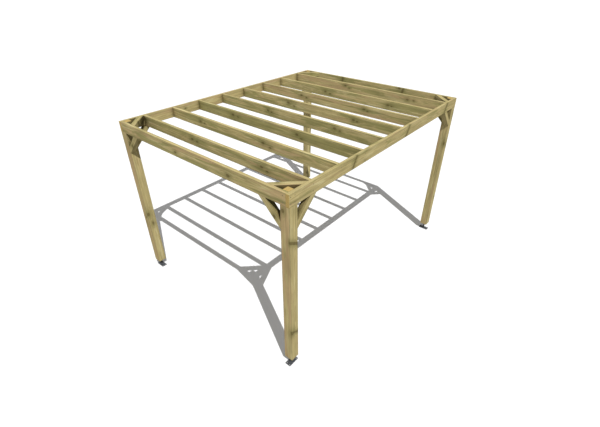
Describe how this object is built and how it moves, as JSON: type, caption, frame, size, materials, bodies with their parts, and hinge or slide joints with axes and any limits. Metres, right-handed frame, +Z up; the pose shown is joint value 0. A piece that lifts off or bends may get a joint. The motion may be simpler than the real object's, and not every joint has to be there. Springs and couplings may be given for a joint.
{
  "type": "pergola",
  "caption": "Free-standing timber pergola, open flat joisted roof on square posts with diagonal braces and steel feet.",
  "frame": {"origin": "on the ground, at the middle of the plan", "axes": "+X along the short side, +Y along the long side, +Z up"},
  "size_m": [3.11, 4.065, 2.515],
  "materials": {
    "timber_post": "sawn, pressure treated",
    "timber_rail": "sawn, pressure treated",
    "timber_joist": "sawn, pressure treated",
    "timber_brace": "sawn, pressure treated",
    "steel_foot": "dark powder coat"
  },
  "bodies": {
    "root": {"post_front_left": "timber_post", "post_front_right": "timber_post", "post_back_left": "timber_post", "post_back_right": "timber_post", "rail_front": "timber_rail", "rail_back": "timber_rail", "rail_left": "timber_rail", "rail_right": "timber_rail", "joist_1": "timber_joist", "joist_2": "timber_joist", "joist_3": "timber_joist", "joist_4": "timber_joist", "joist_5": "timber_joist", "joist_6": "timber_joist", "joist_7": "timber_joist", "joist_8": "timber_joist", "corner_brace_front_left": "timber_brace", "corner_brace_front_right": "timber_brace", "corner_brace_back_left": "timber_brace", "corner_brace_back_right": "timber_brace", "knee_end_front_left": "timber_brace", "knee_end_front_right": "timber_brace", "knee_end_back_left": "timber_brace", "knee_end_back_right": "timber_brace", "knee_side_front_left": "timber_brace", "knee_side_front_right": "timber_brace", "knee_side_back_left": "timber_brace", "knee_side_back_right": "timber_brace", "foot_front_left": "steel_foot", "foot_front_right": "steel_foot", "foot_back_left": "steel_foot", "foot_back_right": "steel_foot"}
  },
  "joints": []
}
